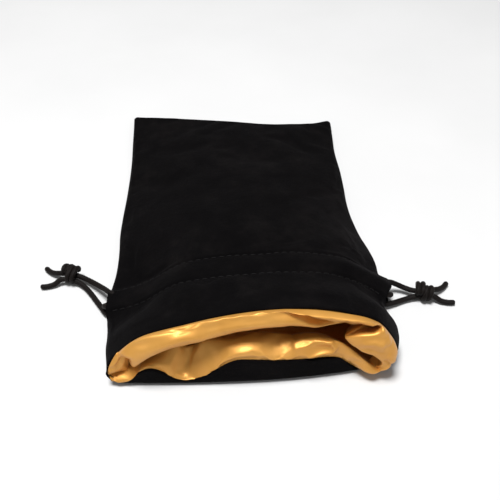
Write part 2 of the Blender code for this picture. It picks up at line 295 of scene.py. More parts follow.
# Height of the velvet's free edge along the lip, in millimetres, from left to right. The satin spills over
# the low places.
LIP_EDGE = (
    (-49.0, 2.6), (-46.3, 1.6), (-43.5, 1.3), (-40.8, 3.0), (-37.5, 6.6), (-33.7, 8.3), (-30.0, 6.4),
    (-26.6, 3.4), (-22.6, 2.2), (-18.4, 3.1), (-13.5, 6.4), (-9.4, 10.0), (-5.6, 12.0), (-1.0, 11.9),
    (6.0, 11.0), (12.0, 10.5), (18.0, 10.1), (24.6, 9.8), (28.6, 8.4), (32.0, 4.6), (36.0, 1.4),
    (39.0, 2.4), (42.0, 3.8), (46.0, 4.6), (49.0, 6.0),
)


def lip_edge(x):
    places, values = np.array(LIP_EDGE).T
    return through(places * MM, values * MM, x)


# ---------------------------------------------------------------- making objects


def link(obj):
    bpy.context.scene.collection.objects.link(obj)
    return obj


def distances(points):
    """How far along a line each of its points lies."""
    return np.concatenate([[0], np.cumsum(np.linalg.norm(np.diff(points, axis=0), axis=1))])


def lay_flat(mesh, uv):
    """Stores each vertex's place on the flat cloth as the mesh's UV."""
    layer = mesh.uv_layers.new(name="cloth")
    corner = np.empty(len(mesh.loops), np.int32)
    mesh.loops.foreach_get("vertex_index", corner)
    layer.data.foreach_set("uv", uv[corner].astype(np.float32).ravel())


def grid_object(name, points, material=None):
    """A smooth quad mesh through a grid of points, with each point's place on the flat cloth as its UV."""
    rows, columns = points.shape[:2]
    index = np.arange(rows * columns).reshape(rows, columns)
    faces = np.stack([index[:-1, :-1], index[:-1, 1:], index[1:, 1:], index[1:, :-1]], axis=-1)
    mesh = bpy.data.meshes.new(name)
    mesh.from_pydata(points.reshape(-1, 3).tolist(), [], faces.reshape(-1, 4).tolist())
    step_v = np.linalg.norm(np.diff(points, axis=0), axis=-1).mean(axis=1)
    step_u = np.linalg.norm(np.diff(points, axis=1), axis=-1).mean(axis=0)
    v = np.concatenate([[0], np.cumsum(step_v)])
    u = np.concatenate([[0], np.cumsum(step_u)])
    uv = np.stack(np.broadcast_arrays(u[None, :], v[:, None]), axis=-1)
    lay_flat(mesh, uv.reshape(-1, 2))
    mesh.shade_smooth()
    if material:
        mesh.materials.append(material)
    return link(bpy.data.objects.new(name, mesh))


def smooth_route(points, pieces=8):
    """A smooth curve through given points, as an array of closer points."""
    knots = np.asarray(points, float)
    place = distances(knots)
    at = np.concatenate([np.linspace(a, b, pieces, endpoint=False) for a, b in zip(place, place[1:])])
    at = np.append(at, place[-1])
    return np.stack([through(place, knots[:, i], at) for i in range(3)], axis=1)


def evenly(points, step):
    """The same route with its points this far apart."""
    length = distances(points)
    at = np.linspace(0, length[-1], max(int(round(length[-1] / step)), 2) + 1)
    return np.stack([np.interp(at, length, points[:, i]) for i in range(3)], axis=1)


def braided_tube(name, points, material, radius=CORD_RADIUS, sides=20, braid=0.055):
    """A round tube with rounded ends, its surface raised in the diamonds of a fine braid."""
    points = evenly(points, TUBE_STEP)
    tangent = np.gradient(points, axis=0)
    tangent /= np.linalg.norm(tangent, axis=1)[:, None]
    normal = np.cross(tangent[0], (0.0, 0.0, 1.0))
    rings, turn = [], np.arange(sides) * 2 * pi / sides
    count = len(points)
    for i in range(count):
        normal = normal - tangent[i] * normal.dot(tangent[i])
        normal /= np.linalg.norm(normal)
        other = np.cross(tangent[i], normal)
        end = min(i, count - 1 - i) * TUBE_STEP / radius
        swell = np.sqrt(1 - (1 - min(end, 1.0)) ** 2) if end < 1 else 1.0
        place = i * TUBE_STEP / BRAID_PITCH
        cross = np.sin(4 * turn + 2 * pi * place) * np.sin(4 * turn - 2 * pi * place)
        r = radius * max(swell, 0.02) * (1 - braid + braid * 2 * np.abs(cross))
        around = np.cos(turn)[:, None] * normal + np.sin(turn)[:, None] * other
        rings.append(points[i] + r[:, None] * around)
    mesh = bpy.data.meshes.new(name)
    index = np.arange(count * sides).reshape(count, sides)
    ahead = np.roll(index, -1, axis=1)
    faces = np.stack([index[:-1], ahead[:-1], ahead[1:], index[1:]], axis=-1).reshape(-1, 4).tolist()
    faces += [index[0, ::-1].tolist(), index[-1].tolist()]
    mesh.from_pydata(np.array(rings).reshape(-1, 3).tolist(), [], faces)
    vertex = np.arange(count * sides)
    lay_flat(mesh, np.stack([(vertex % sides) / sides, (vertex // sides) * TUBE_STEP], axis=1))
    mesh.shade_smooth()
    mesh.materials.append(material)
    return link(bpy.data.objects.new(name, mesh))


def join_meshes(name, parts):
    """One object made of several, whose own objects are removed."""
    joined = bmesh.new()
    for part in parts:
        joined.from_mesh(part.data)
    mesh = bpy.data.meshes.new(name)
    joined.to_mesh(mesh)
    joined.free()
    mesh.materials.append(parts[0].data.materials[0])
    mesh.shade_smooth()
    for part in parts:
        bpy.data.objects.remove(part)
    return link(bpy.data.objects.new(name, mesh))


def declare(piece, body, slot, *replaced):
    """Hides what a piece replaces and puts the piece on the body it rides on; the slot is not used. A piece
    on "mouth" only has its transform baked into its mesh.
    """
    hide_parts(*replaced)
    if body == "mouth":
        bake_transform(piece)
    else:
        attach(piece, body)


# ---------------------------------------------------------------- materials


class Nodes:
    """A material's node tree, with short ways to add and join nodes."""

    def __init__(self, name):
        self.material = bpy.data.materials.new(name)
        self.material.use_nodes = True
        self.tree = self.material.node_tree
        self.shader = self.tree.nodes["Principled BSDF"]

    def add(self, kind, inputs=(), **settings):
        node = self.tree.nodes.new(kind)
        for key, value in settings.items():
            setattr(node, key, value)
        for socket, value in dict(inputs).items():
            if isinstance(value, bpy.types.NodeSocket):
                self.tree.links.new(value, node.inputs[socket])
            else:
                node.inputs[socket].default_value = value
        return node

    def set(self, **values):
        for name, value in values.items():
            socket = self.shader.inputs[name.replace("_", " ")]
            if isinstance(value, bpy.types.NodeSocket):
                self.tree.links.new(value, socket)
            else:
                socket.default_value = value

    def math(self, operation, a, b=0.0):
        return self.add("ShaderNodeMath", {0: a, 1: b}, operation=operation).outputs[0]

    def noise(self, vector, scale, detail=2.0, roughness=0.5):
        inputs = {"Vector": vector, "Scale": scale, "Detail": detail, "Roughness": roughness}
        return self.add("ShaderNodeTexNoise", inputs).outputs["Fac"]

    def colour_ramp(self, value, *stops):
        node = self.add("ShaderNodeValToRGB", {"Fac": value})
        elements = node.color_ramp.elements
        while len(elements) < len(stops):
            elements.new(0.5)
        for element, (position, colour) in zip(elements, stops):
            element.position = position
            element.color = (*colour, 1.0)
        return node.outputs["Color"]

    def bump(self, height, distance, strength=1.0, normal=None):
        inputs = {"Height": height, "Distance": distance, "Strength": strength}
        if normal is not None:
            inputs["Normal"] = normal
        return self.add("ShaderNodeBump", inputs).outputs["Normal"]


def velvet_material():
    made = Nodes("black_velvet")
    place = made.add("ShaderNodeTexCoord").outputs["Object"]
    mottle = made.noise(place, 130.0, 5.0, 0.65)
    crushed = made.noise(place, 38.0, 3.0, 0.55)
    both = made.math("ADD", made.math("MULTIPLY", mottle, 0.55), made.math("MULTIPLY", crushed, 0.45))
    colour = made.colour_ramp(
        both,
        (0.36, (0.0012, 0.0010, 0.0012)), (0.52, (0.0020, 0.0017, 0.0019)), (0.68, (0.0044, 0.0037, 0.0038)),
    )
    nap = made.noise(place, 2600.0, 3.0, 0.7)
    tufts = made.noise(place, 600.0, 3.0, 0.6)
    normal = made.bump(nap, 0.0003, 0.5)
    normal = made.bump(tufts, 0.0006, 0.35, normal)
    made.set(Base_Color=colour, Roughness=0.92, Normal=normal, Specular_IOR_Level=0.045)
    made.set(Sheen_Weight=0.022, Sheen_Roughness=0.4, Sheen_Tint=(0.6, 0.53, 0.56, 1.0))
    return made.material


def satin_material():
    made = Nodes("gold_satin")
    flat = made.add("ShaderNodeTexCoord").outputs["UV"]
    place = made.add("ShaderNodeTexCoord").outputs["Object"]
    warp = made.add("ShaderNodeMapping", {"Vector": flat, "Scale": (9000.0, 500.0, 1.0)}).outputs[0]
    weft = made.add("ShaderNodeMapping", {"Vector": flat, "Scale": (700.0, 5200.0, 1.0)}).outputs[0]
    threads = made.noise(warp, 1.0, 2.0)
    picks = made.noise(weft, 1.0, 2.0)
    cloud = made.noise(place, 60.0, 3.0, 0.6)
    colour = made.colour_ramp(
        cloud, (0.30, (0.60, 0.280, 0.050)), (0.5, (0.67, 0.325, 0.064)), (0.72, (0.73, 0.370, 0.084))
    )
    fine = made.math("ADD", made.math("MULTIPLY", threads, 0.6), made.math("MULTIPLY", picks, 0.4))
    gloss = made.add(
        "ShaderNodeMapRange",
        {"Value": fine, "From Min": 0.3, "From Max": 0.7, "To Min": 0.40, "To Max": 0.54},
    ).outputs[0]
    normal = made.bump(fine, 0.00006, 0.35)
    made.set(Base_Color=colour, Roughness=gloss, Metallic=0.45, Normal=normal)
    made.set(Specular_IOR_Level=0.5, Sheen_Weight=0.08, Sheen_Roughness=0.35)
    return made.material


def cord_material():
    made = Nodes("black_cord")
    flat = made.add("ShaderNodeTexCoord").outputs["UV"]
    parts = made.add("ShaderNodeSeparateXYZ", {"Vector": flat})
    around = made.math("MULTIPLY", parts.outputs[0], 2 * pi * 4)
    length = made.math("MULTIPLY", parts.outputs[1], 2 * pi / BRAID_PITCH)
    one = made.math("SINE", made.math("ADD", around, length))
    two = made.math("SINE", made.math("SUBTRACT", around, length))
    cross = made.math("ABSOLUTE", made.math("MULTIPLY", one, two))
    strand = made.math("ADD", made.math("MULTIPLY", around, 3.0), made.math("MULTIPLY", length, 4.0))
    fibre = made.math("MULTIPLY", made.math("ADD", made.math("SINE", strand), 1.0), 0.5)
    # Painted highlight and shade: the colour is lighter on the braid's raised diamonds and along the fibres'
    # twist, and darker in the grooves between them
    value = made.math("ADD", made.math("MULTIPLY", cross, 0.7), made.math("MULTIPLY", fibre, 0.3))
    colour = made.colour_ramp(
        value,
        (0.05, (0.0015, 0.0011, 0.0010)), (0.45, (0.0045, 0.0030, 0.0026)), (0.9, (0.012, 0.0078, 0.0065)),
    )
    normal = made.bump(fibre, 0.00008, 0.6)
    made.set(Base_Color=colour, Roughness=0.6, Normal=normal, Specular_IOR_Level=0.12)
    made.set(Sheen_Weight=0.03, Sheen_Roughness=0.5, Sheen_Tint=(0.7, 0.6, 0.55, 1.0))
    return made.material


def thread_material():
    made = Nodes("black_thread")
    place = made.add("ShaderNodeTexCoord").outputs["Object"]
    twist = made.add("ShaderNodeTexWave", {"Vector": place, "Scale": 900.0, "Distortion": 1.0}).outputs["Fac"]
    colour = made.colour_ramp(twist, (0.1, (0.0018, 0.0015, 0.0018)), (0.9, (0.0048, 0.0042, 0.0045)))
    made.set(Base_Color=colour, Roughness=0.6, Normal=made.bump(twist, 0.00005, 0.5))
    made.set(Sheen_Weight=0.02, Specular_IOR_Level=0.12)
    return made.material


def floor_material():
    made = Nodes("white_table")
    place = made.add("ShaderNodeTexCoord").outputs["Object"]
    grain = made.noise(place, 12.0, 4.0)
    colour = made.colour_ramp(grain, (0.3, (0.61, 0.61, 0.61)), (0.7, (0.64, 0.64, 0.64)))
    made.set(Base_Color=colour, Roughness=0.85, Specular_IOR_Level=0.2)
    return made.material


# ---------------------------------------------------------------- stage


def stage(floor):
    plane = bpy.data.meshes.new("table")
    half = 3.0
    corners = [(-half, -half, 0), (half, -half, 0), (half, half, 0), (-half, half, 0)]
    plane.from_pydata(corners, [], [(0, 1, 2, 3)])
    plane.materials.append(floor)
    table = link(bpy.data.objects.new("table", plane))
    table.location.z = -0.05 * MM

    world = bpy.data.worlds.new("studio")
    world.use_nodes = True
    world.node_tree.nodes["Background"].inputs["Color"].default_value = (1.0, 1.0, 1.0, 1.0)
    world.node_tree.nodes["Background"].inputs["Strength"].default_value = 0.24
    bpy.context.scene.world = world
    bpy.context.scene.view_settings.view_transform = "Standard"

    aim = Vector((0, -0.05, 0.01))
    for name, azimuth, elevation, distance, size, power in (
        ("key", -60, 82, 1.0, 0.34, 14.6), ("fill", 40, 40, 1.1, 0.6, 0.7),
    ):
        light = bpy.data.lights.new(name, "AREA")
        light.shape = "DISK"
        light.size = size
        light.energy = power
        lamp = link(bpy.data.objects.new(name, light))
        turn, rise = radians(azimuth), radians(elevation)
        lamp.location = aim + distance * Vector((sin(turn) * cos(rise), -cos(turn) * cos(rise), sin(rise)))
        lamp.rotation_euler = (aim - lamp.location).to_track_quat("-Z", "Y").to_euler()


def camera():
    data = bpy.data.cameras.new("camera")
    data.lens = 46.0
    data.sensor_width = 36.0
    data.clip_start = 0.01
    eye = link(bpy.data.objects.new("camera", data))
    aim = Vector((2.1, -15.9, 0.0)) * MM
    turn, rise = radians(-3.1), radians(44.3)
    eye.location = aim + 0.26 * Vector((sin(turn) * cos(rise), -cos(turn) * cos(rise), sin(rise)))
    eye.rotation_euler = (aim - eye.location).to_track_quat("-Z", "Y").to_euler()
    bpy.context.scene.camera = eye


# ---------------------------------------------------------------- cords


def run_of(face, own_side, near_at_own_side, lies_under, ends):
    """A cord's way through one casing, from own side to the other, swapping lanes in the middle."""
    own_lane, other_lane = FAR_LANE_Y, NEAR_LANE_Y
    if near_at_own_side:
        own_lane, other_lane = other_lane, own_lane
    t = np.linspace(-ends, ends, 41)
    u = -own_side * t
    dip = CROSSING_DEPTH * (1 - ramp(0.3, 0.6, np.abs(u))) if lies_under else 0.0
    return inside(face, u, mix(own_lane, other_lane, ramp(-0.25, 0.25, t)), LANE_DEPTH + 0.35 * MM + dip)


def knot_wraps(side, centre, axis, material):
    """The doubled cord's two turns around its own two strands, with both ends tucked in."""
    wraps = []
    for offset in (-1, 1):
        points = []
        for t in np.linspace(0, 1, 25):
            angle = 0.9 + t * 2 * pi * 1.35
            tuck = 1 - 0.62 * (ramp(0.12, 0.0, t) + ramp(0.88, 1.0, t))
            x = mix(2.1, -2.1, t) + offset * 0.95 * (0.3 + 0.7 * tuck)
            points.append((x, 3.15 * tuck * cos(angle), 2.42 * tuck * sin(angle)))
        along_axis = Vector(axis).normalized()
        across = Vector((0, 0, 1)).cross(along_axis)
        basis = Matrix((along_axis, across, (0, 0, 1))).transposed()
        route = np.array([centre + basis @ (Vector(point) * MM) for point in points])
        wraps.append(braided_tube("wrap", smooth_route(route, 3), material, 0.93 * MM))
    return join_meshes(f"{side}_knot_wraps", wraps)


def cords(material):
    for side, sign in (("left", -1), ("right", 1)):
        centre = Vector(KNOT[side]) * MM
        loop = f"{side}_loop"
        ends = {}
        for face in ("front", "back"):
            strand = [Vector(point) * MM for point in STRAND[side, face]]
            tail = [centre + Vector((sign * x, y, z)) * MM for x, y, z in TAIL[face]]
            ends[face] = (strand[-1], tail[0])
            route = smooth_route(strand + tail)
            piece = braided_tube(f"{side}_cord_{face}", route, material)
            tail_name = "far" if face == "front" else "near"
            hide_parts(f"{side}_cord_strand_{face}", f"{side}_cord_tail_{tail_name}")
            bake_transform(piece)
            ends[face, "piece"] = (piece, route, strand[1])
        axis = sum((ends[f][1] - ends[f][0] for f in ("front", "back")), Vector())
        axis.z = 0
        wraps = knot_wraps(side, centre, axis, material)
        declare(wraps, loop, "cord_black", f"{side}_knot")
        for face in ("front", "back"):
            piece, route, leaves = ends[face, "piece"]

        tip = np.array([[sign * 49.3 * MM, 0, 7.1 * MM]])
        front = run_of(front_face, sign, False, sign > 0, 0.9)
        start, end = tip.copy(), tip * (-1, 1, 1)
        start[0, 1], end[0, 1] = front[0, 1], front[-1, 1]
        route = smooth_route(np.concatenate([start, front, end]), 3)
        run = braided_tube(f"{side}_run_front", route, material)
        declare(run, "mouth", "cord_black", f"{side}_cord_front_run")

        back = run_of(back_face, sign, True, sign > 0, 0.9)
        turn = np.array([(-sign * x, y, z) for x, y, z in TURN_ROUTE]) * MM
        run = braided_tube(f"{side}_run_back", smooth_route(np.concatenate([back, turn]), 3), material)
        declare(run, "back", "cord_black", f"{side}_cord_back_run")


# ---------------------------------------------------------------- cloth simulation

# Cloth is simulated this many times larger than life, so that its stiffness suits folds of a few millimetres
SIMULATED_SIZE = 40.0


def relax(points, times):
    """Evens out a grid of points, with its borders held."""
    for _ in range(times):
        around = (points[:-2, 1:-1] + points[2:, 1:-1] + points[1:-1, :-2] + points[1:-1, 2:]) / 4
        points[1:-1, 1:-1] = mix(points[1:-1, 1:-1], around, 0.5)
    return points


def borders(points, first, last):
    """True for the rows that are sewn down at each end of a grid, and for its first and last columns."""
    held = np.zeros(points.shape[:2], bool)
    held[:first] = True
    held[-last:] = True
    held[:, [0, -1]] = True
    return held


def buckled(points, held, grow, reach, bending, ruffle, seed, frames=16):
    """Lets a grid of cloth buckle into small folds. It is cut a little larger than its place, sewn down where
    it is held, and simulated as cloth. Its points move up to about this reach."""
    rows, columns = points.shape[:2]
    ruffled = points + 0.15 * MM * noise_at(points, ruffle, seed)[..., None]
    trial = grid_object("trial", ruffled * SIMULATED_SIZE)
    group = trial.vertex_groups.new(name="sewn")
    group.add(np.nonzero(held.ravel())[0].tolist(), 1.0, "REPLACE")
    group.add(np.nonzero(~held.ravel())[0].tolist(), 0.005, "REPLACE")
    cloth = trial.modifiers.new("cloth", "CLOTH")
    settings = cloth.settings
    settings.quality = 6
    settings.mass = 0.12
    settings.tension_stiffness = 25
    settings.compression_stiffness = 25
    settings.shear_stiffness = 8
    settings.bending_stiffness = bending
    settings.vertex_group_mass = "sewn"
    settings.pin_stiffness = 1.0
    settings.shrink_min = -grow
    settings.effector_weights.gravity = 0.0
    cloth.collision_settings.use_collision = False
    cloth.point_cache.frame_start = 1
    cloth.point_cache.frame_end = frames
    for number in range(1, frames + 1):
        bpy.context.scene.frame_set(number)
    settled = trial.evaluated_get(bpy.context.evaluated_depsgraph_get()).data
    moved = np.empty(rows * columns * 3, np.float32)
    settled.vertices.foreach_get("co", moved)
    moved = moved.reshape(points.shape).astype(float) / SIMULATED_SIZE - points
    bpy.context.scene.frame_set(1)
    bpy.data.objects.remove(trial)
    moved[held] = 0
    moved = relax(moved, 2)
    far = np.linalg.norm(moved, axis=-1, keepdims=True)
    return points + moved * reach * np.tanh(far / reach) / np.maximum(far, 1e-9)


# ---------------------------------------------------------------- velvet


def rows_between(*stops):
    """Rows from stop to stop; each stop is a row and the spacing of the rows that lead up to it."""
    rows = [stops[0][0]]
    for row, spacing in stops[1:]:
        count = max(int(round(abs(row - rows[-1]) / spacing)), 1)
        rows += list(np.linspace(rows[-1], row, count + 1)[1:])
    return np.array(rows)


def casing_sink(x, row, spacing):
    """How deep the velvet is drawn in at the stitch rows, with puckers, and how it puffs between them."""
    sink = 0
    for line, phase in ((CASING_FAR_Y, 0.0), (CASING_NEAR_Y, 1.7)):
        gap = (row - line) / MM
        pucker = 0.5 * np.sin(x / (2.9 * MM) + phase) + 0.5 * np.sin(x / (4.3 * MM) + 2 * phase + 1)
        sink = sink + 0.62 * np.exp(-((gap / 0.85) ** 2))
        sink = sink + (0.16 + 0.20 * pucker) * np.exp(-((gap / 3.2) ** 2))
    middle = (CASING_FAR_Y + CASING_NEAR_Y) / 2
    return (sink - 0.45 * bump(middle, 5 * MM, row)) * spacing * MM


CREASES = (
    # start, end, width and height, in millimetres: soft ridges across the front
    ((-6, 64), (27, 29), 5.0, 0.55), ((3, 13), (26, -17), 5.0, 0.7), ((26, -17), (44, -38), 4.0, 0.6),
    ((-44, 40), (-25, 22), 7.0, 0.35), ((-30, -8), (4, -22), 7.0, 0.35), ((10, 52), (40, 60), 6.0, 0.3),
)


def creases(x, y):
    """The height of the soft ridges that folding has left in the velvet."""
    height = 0
    for (ax, ay), (bx, by), width, rise in CREASES:
        dx, dy = bx - ax, by - ay
        size = hypot(dx, dy)
        px, py = x / MM - ax, y / MM - ay
        t = np.clip((px * dx + py * dy) / size**2, 0, 1)
        away = np.hypot(px - t * dx, py - t * dy) / width
        fade = np.sin(pi * np.clip(t, 0.02, 0.98)) ** 0.6
        height = height + rise * np.exp(-(away**2)) * fade
    return height * MM


def velvet_panel(name, face, rows, edge_row, material):
    """A panel with its free edge at the mouth rolled over into a hem."""
    columns = spread(np.linspace(-1, 1, 161))
    rows = np.concatenate([rows, np.full(9, 1.0), np.full(6, 2.0)])
    u = np.broadcast_to(columns, (len(rows), len(columns)))
    row = np.empty_like(u)
    depth = np.zeros_like(u)
    body = len(rows) - 15
    row[:body] = rows[:body, None]
    if face is back_face:
        turned = row[:body] < LIP_Y + LIP_CURL
        start = LIP_Y + LIP_CURL
        share = (start - row[:body]) / (start - rows[body - 1])
        row[:body] = np.where(turned, start - share * (start - edge_row[None, :]), row[:body])
    roll = np.linspace(0, pi, 10)[1:]
    row[body:body + 9] = edge_row[None, :] - HEM_RADIUS * np.sin(roll)[:, None]
    depth[body:body + 9] = HEM_RADIUS * (1 - np.cos(roll))[:, None]
    inner_reach = mix(4.0, 0.8, ramp(0.84, 0.95, np.abs(columns)))
    row[body + 9:] = edge_row[None, :] + np.linspace(0.5, 1.0, 6)[:, None] * inner_reach * MM
    depth[body + 9:] = 2 * HEM_RADIUS
    x = face(u, row)[..., 0]
    y = face(u, row)[..., 1]
    reach = 1 - ramp(0.93, 1.0, np.abs(u))
    if face is front_face:
        depth = depth + casing_sink(x, row, reach) - creases(x, y) * reach
    else:
        depth = depth + 0.35 * casing_sink(x, row, reach).clip(0)
    points = inside(face, u, row, depth)
    if face is front_face:
        soft = 0.30 * noise_at(points, 17 * MM, 1) + 0.10 * noise_at(points, 6 * MM, 2)
        band = ramp(CASING_FAR_Y + 3 * MM, CASING_FAR_Y, row)
        band = band * ramp(CASING_NEAR_Y - 3 * MM, CASING_NEAR_Y, row)
        points[..., 2] += soft * (1 - 0.8 * band) * reach * MM
        held = borders(points, 10, 24)
        held[:, :4] = held[:, -4:] = True
        held |= band > 0.9
        points = buckled(points, held, 0.02, 0.45 * MM, 0.6, 9 * MM, 7, 10)
    points[..., 2] = np.maximum(points[..., 2], 0.0)
    return grid_object(name, points, material)


def stitch_row(name, points, normals, material, length=2.1 * MM, gap=0.7 * MM):
    """A row of separate stitches lying along a line on the cloth."""
    points = np.asarray(points)
    place = distances(points)

    def at(where):
        return np.array([np.interp(where, place, points[:, i]) for i in range(3)])

    def up(where):
        return np.array([np.interp(where, place, normals[:, i]) for i in range(3)])

    parts = []
    start = gap
    while start + length < place[-1]:
        route = []
        for t in np.linspace(0, 1, 7):
            where = start + t * length
            sink = 0.35 * MM * (2 * t - 1) ** 4
            route.append(at(where) + up(where) * (0.12 * MM - sink))
        parts.append(np.array(route))
        start += length + gap
    made = bmesh.new()
    sides = 8
    for route in parts:
        tangent = np.gradient(route, axis=0)
        tangent /= np.linalg.norm(tangent, axis=1)[:, None]
        rings = []
        for i, point in enumerate(route):
            normal = np.cross(tangent[i], (0.0, 0.0, 1.0))
            normal /= np.linalg.norm(normal)
            other = np.cross(tangent[i], normal)
            radius = STITCH_RADIUS * (0.55 if i in (0, len(route) - 1) else 1.0)
            ring = []
            for k in range(sides):
                turn = 2 * pi * k / sides
                ring.append(made.verts.new(point + radius * (cos(turn) * normal + sin(turn) * other)))
            rings.append(ring)
        for a, b in zip(rings, rings[1:]):
            for k in range(sides):
                made.faces.new((a[k], a[(k + 1) % sides], b[(k + 1) % sides], b[k]))
        made.faces.new(rings[0][::-1])
        made.faces.new(rings[-1])
    mesh = bpy.data.meshes.new(name)
    made.to_mesh(mesh)
    made.free()
    mesh.shade_smooth()
    mesh.materials.append(material)
    return link(bpy.data.objects.new(name, mesh))


def velvet(material, thread):
    front_rows = rows_between(
        (FAR_Y, 0), (FAR_Y - 2.5 * MM, 0.25 * MM), (-32 * MM, 1.3 * MM), (-56 * MM, 0.45 * MM),
        (RIM_Y + 2 * MM, 0.9 * MM), (RIM_Y, 0.4 * MM),
    )
    edge = np.full(161, RIM_Y)
    front = velvet_panel("velvet_front", front_face, front_rows, edge, material)
    declare(front, "mouth", "velvet_black", "outer_front_panel")

    start = LIP_Y + LIP_CURL
    back_rows = rows_between(
        (FAR_Y, 0), (FAR_Y - 2.5 * MM, 0.25 * MM), (-32 * MM, 1.3 * MM), (-56 * MM, 0.6 * MM),
        (start, 0.9 * MM), (start - 12 * MM, 0.4 * MM),
    )
    columns = spread(np.linspace(-1, 1, 161))
    lip_x = back_face(columns, np.full(161, start - pi / 2 * LIP_CURL))[:, 0]
    edge = LIP_Y + LIP_CURL * (2 - pi / 2) - lip_edge(lip_x)
    back = velvet_panel("velvet_back", back_face, back_rows, edge, material)
    declare(back, "back", "velvet_black", "outer_back_panel")

    t = spread(np.linspace(-0.93, 0.93, 181))
    for label, row in (("far", CASING_FAR_Y), ("near", CASING_NEAR_Y)):
        place = np.full_like(t, row)
        x = front_face(t, place)[:, 0]
        outer = inside(front_face, t, place, casing_sink(x, place, 1.0) - 0.05 * MM - creases(x, place))
        deeper = inside(front_face, t, place, np.full_like(t, 1 * MM))
        normals = outer - deeper
        normals /= np.linalg.norm(normals, axis=1)[:, None]
        row_of = stitch_row(f"stitches_front_{label}", outer, normals, thread)
        declare(row_of, "mouth", "thread_black", f"casing_stitches_front_{label}")


def seam_point(u, row):
    return (front_face(u, row) + back_face(u, row)) / 2


def seams(thread):
    """The stitches that join the panels, and the casing's stitches in the back panel."""
    above = CASING_FAR_Y + 2 * SLIT_RAMP
    below = CASING_NEAR_Y - 2 * SLIT_RAMP
    lines = {}
    for label, side in (("left", -1), ("right", 1)):
        body = np.linspace(FAR_Y - 2 * MM, above, 60)
        lines[f"side_seam_{label}_body"] = seam_point(0.985 * side, body)
        lines[f"side_seam_{label}_header"] = seam_point(0.985 * side, np.linspace(below, RIM_Y, 20))
        lines[f"lining_side_seam_{label}"] = seam_point(0.967 * side, body)
    columns = np.linspace(-0.95, 0.95, 60)
    lines["bottom_seam"] = seam_point(columns, np.full(60, FAR_Y - 0.8 * MM))
    lines["lining_bottom_seam"] = seam_point(columns, np.full(60, FAR_Y - 1.8 * MM))
    up = np.tile((0.0, 0.0, 1.0), (60, 1))
    for node, line in lines.items():
        piece = stitch_row(f"{node}_stitches", line, up[:len(line)], thread)
        declare(piece, "back", "thread_black", node)
    for label, row in (("far", CASING_FAR_Y), ("near", CASING_NEAR_Y)):
        row = np.full(60, row)
        outer = inside(back_face, columns * 0.96, row, np.full(60, -0.02 * MM))
        piece = stitch_row(f"stitches_back_{label}", np.maximum(outer, (-1, -1, 0.25 * MM)), up, thread)
        declare(piece, "back", "thread_black", f"casing_stitches_back_{label}")


# ---------------------------------------------------------------- satin

# The satin's folds in the mouth, from the bottom left corner, over the top and round to the bottom right
# corner, in millimetres. Each line lists the same stations: where the satin swells out from under the
# velvet, the crease under that swell, the middle of the roll below, and the roll's lower or inner edge.
SWELL = (
    (-46.8, -76.4, 4.4), (-47.1, -78.0, 6.8), (-45.9, -77.3, 9.4), (-43.6, -76.2, 13.4), (-41.5, -76.6, 17.2),
    (-37.4, -76.0, 20.4), (-32.0, -75.6, 22.7), (-22.0, -75.2, 25.3), (-12.2, -74.8, 27.7),
    (-1.1, -74.6, 29.5), (8.7, -74.8, 30.3), (14.8, -76.2, 30.0), (21.0, -76.8, 29.0), (27.6, -77.2, 27.8),
    (33.9, -77.3, 27.0), (38.2, -77.5, 25.4), (40.0, -76.9, 24.0), (41.4, -77.3, 22.6), (43.2, -77.4, 19.9),
    (45.2, -77.8, 16.8), (46.6, -78.4, 13.3), (46.7, -79.0, 10.4), (45.6, -79.8, 7.6), (43.6, -80.3, 5.2),
    (40.8, -79.9, 4.0), (37.5, -77.6, 4.0),
)
CREASE = (
    (-45.4, -75.2, 3.8), (-45.4, -77.3, 6.1), (-44.3, -76.7, 9.2), (-42.2, -75.6, 12.8), (-40.3, -78.0, 15.0),
    (-36.2, -77.7, 18.7), (-31.0, -77.3, 21.3), (-21.7, -76.8, 23.9), (-12.1, -76.3, 26.3),
    (-1.1, -75.9, 28.3), (8.8, -75.5, 28.9), (14.9, -73.4, 27.6), (21.4, -72.8, 24.9), (28.7, -74.4, 22.9),
    (34.3, -75.6, 22.9), (37.7, -76.3, 23.0), (39.6, -72.6, 19.6), (38.4, -77.8, 22.0), (40.3, -79.2, 20.2),
    (42.2, -80.0, 17.2), (44.2, -80.4, 13.9), (44.8, -80.7, 10.8), (44.2, -80.9, 8.2), (42.9, -81.0, 6.4),
    (40.6, -79.9, 5.0), (37.8, -77.6, 4.4),
)
ROLL = (
    (-43.8, -74.2, 3.2), (-43.5, -76.3, 5.4), (-42.6, -76.0, 8.8), (-41.0, -75.2, 12.3), (-39.7, -78.3, 11.8),
    (-35.5, -78.9, 15.2), (-30.3, -78.5, 18.2), (-21.4, -78.0, 21.0), (-12.1, -77.5, 23.4),
    (-1.2, -77.1, 25.6), (8.5, -76.9, 26.2), (14.5, -76.0, 25.2), (20.5, -75.2, 23.1), (28.0, -73.0, 21.5),
    (33.9, -72.8, 20.8), (36.6, -72.8, 20.4), (37.4, -70.3, 15.8), (33.6, -77.0, 20.9), (35.4, -79.0, 18.9),
    (38.2, -80.0, 16.3), (41.2, -80.3, 13.9), (42.6, -80.6, 11.3), (43.0, -80.6, 8.9), (42.2, -80.6, 7.0),
    (40.4, -79.5, 5.7), (38.0, -77.4, 4.8),
)
